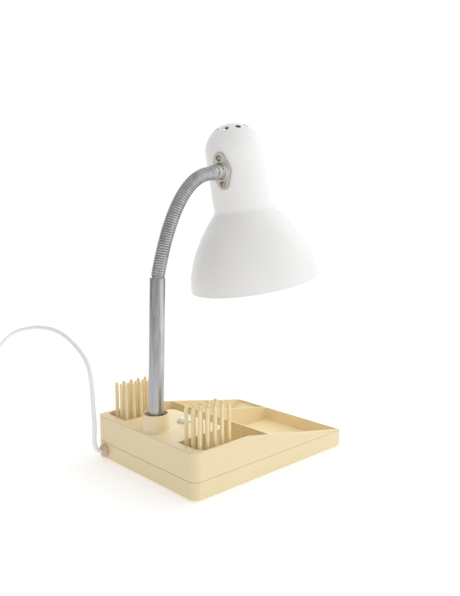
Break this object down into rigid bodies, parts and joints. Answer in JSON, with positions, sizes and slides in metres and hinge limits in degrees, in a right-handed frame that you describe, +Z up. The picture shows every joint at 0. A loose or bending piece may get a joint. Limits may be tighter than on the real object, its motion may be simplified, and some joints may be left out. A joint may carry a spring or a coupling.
{
  "type": "gooseneck desk lamp",
  "caption": "Desk lamp with a bell shade on a ribbed gooseneck and a steel stem, on a cream desk-organiser base with tray, pencil groove, pockets of upright pins and a push button.",
  "frame": {"origin": "On the ground under the middle of the base.", "axes": "+Z is up; +Y points to the rear of the base, where the stem stands and the cord leaves; +X points to the side of the base that holds the pencil groove and the cord gland."},
  "size_m": [0.5438, 0.3173, 0.3694],
  "materials": {
    "cream_plastic": "smooth moulded plastic, soft gloss",
    "pin_plastic": "smooth moulded plastic",
    "cast_ballast": "rough cast",
    "zinc_hardware": "zinc plated",
    "cast_zinc": "dull cast metal",
    "rubber": "matt",
    "satin_steel": "satin ground tube",
    "hose_steel": "bright ribbed hose",
    "black_plastic": "moulded",
    "white_plastic": "moulded, soft gloss",
    "cord_plastic": "soft sheath",
    "white_paint": "smooth gloss enamel",
    "bronze_screw": "dark plated",
    "brass": "drawn",
    "porcelain": "glazed",
    "bulb_glass": "frosted white"
  },
  "bodies": {
    "base": {"base_pan": "cream_plastic", "base_cover": "cream_plastic", "ballast_plate": "cast_ballast", "case_screw_1": "zinc_hardware", "case_screw_2": "zinc_hardware", "case_screw_3": "zinc_hardware", "case_screw_4": "zinc_hardware", "rubber_foot_1": "rubber", "rubber_foot_2": "rubber", "rubber_foot_3": "rubber", "rubber_foot_4": "rubber", "stem_cup": "cream_plastic", "pin_holder_near": "pin_plastic", "pin_holder_far": "pin_plastic", "stem_tube": "satin_steel", "stem_washer": "zinc_hardware", "stem_locknut": "zinc_hardware", "gooseneck_foot": "hose_steel", "switch_body": "black_plastic", "switch_screw_1": "zinc_hardware", "switch_screw_2": "zinc_hardware", "terminal_block": "white_plastic", "cord_clamp": "black_plastic", "clamp_screw_1": "zinc_hardware", "clamp_screw_2": "zinc_hardware", "cord_gland": "cream_plastic", "mains_lead_inner": "cord_plastic", "lamp_lead": "cord_plastic", "switch_lead": "cord_plastic", "mains_cord": "cord_plastic", "cord_coil": "cord_plastic", "cord_tail": "cord_plastic", "mains_plug": "white_plastic"},
    "button": {"push_button": "white_plastic"},
    "hose_1": {"gooseneck_link_1": "hose_steel"},
    "hose_2": {"gooseneck_link_2": "hose_steel"},
    "hose_3": {"gooseneck_link_3": "hose_steel"},
    "hose_4": {"gooseneck_link_4": "hose_steel"},
    "hose_5": {"gooseneck_link_5": "hose_steel"},
    "hose_6": {"gooseneck_link_6": "hose_steel"},
    "head": {"gooseneck_tip": "hose_steel", "hose_flange": "cast_zinc", "set_screw": "zinc_hardware", "flange_screw_1": "bronze_screw", "flange_screw_2": "bronze_screw", "shade": "white_paint", "holder_bracket": "zinc_hardware", "holder_nipple": "zinc_hardware", "nipple_nut": "zinc_hardware", "lampholder_body": "porcelain", "lampholder_thread": "brass", "lampholder_contact": "brass", "bulb_cap": "zinc_hardware", "bulb_glass": "bulb_glass"}
  },
  "joints": [
    {"name": "bend_1", "type": "hinge", "parent": "base", "child": "hose_1", "pos_m": [-0.00471, 0.08761, 0.22218], "axis": [0.9521, 0.267, 0.149], "range_deg": [-25, 12]},
    {"name": "sway_1", "type": "hinge", "parent": "hose_1", "child": "hose_2", "pos_m": [-0.00652, 0.0839, 0.23919], "axis": [-0.2869, 0.9377, 0.1959], "range_deg": [-20, 20]},
    {"name": "bend_2", "type": "hinge", "parent": "hose_2", "child": "hose_3", "pos_m": [-0.00853, 0.0793, 0.25595], "axis": [0.951, 0.239, 0.196], "range_deg": [-25, 12]},
    {"name": "sway_2", "type": "hinge", "parent": "hose_3", "child": "hose_4", "pos_m": [-0.01076, 0.07345, 0.27228], "axis": [-0.277, 0.901, 0.334], "range_deg": [-20, 20]},
    {"name": "bend_3", "type": "hinge", "parent": "hose_4", "child": "hose_5", "pos_m": [-0.01327, 0.06575, 0.28778], "axis": [0.9532, 0.151, 0.262], "range_deg": [-25, 12]},
    {"name": "sway_3", "type": "hinge", "parent": "hose_5", "child": "hose_6", "pos_m": [-0.01598, 0.05515, 0.30137], "axis": [-0.218, 0.6941, 0.6861], "range_deg": [-20, 20]},
    {"name": "bend_4", "type": "hinge", "parent": "hose_6", "child": "head", "pos_m": [-0.01818, 0.04052, 0.31044], "axis": [0.9918, -0.031, 0.124], "range_deg": [-25, 12]},
    {"name": "button_press", "type": "slide", "parent": "base", "child": "button", "axis": [0, 0, -1], "range_m": [0, 0.0025], "stiffness_N_per_m": 500, "springref_m": -0.0006}
  ]
}
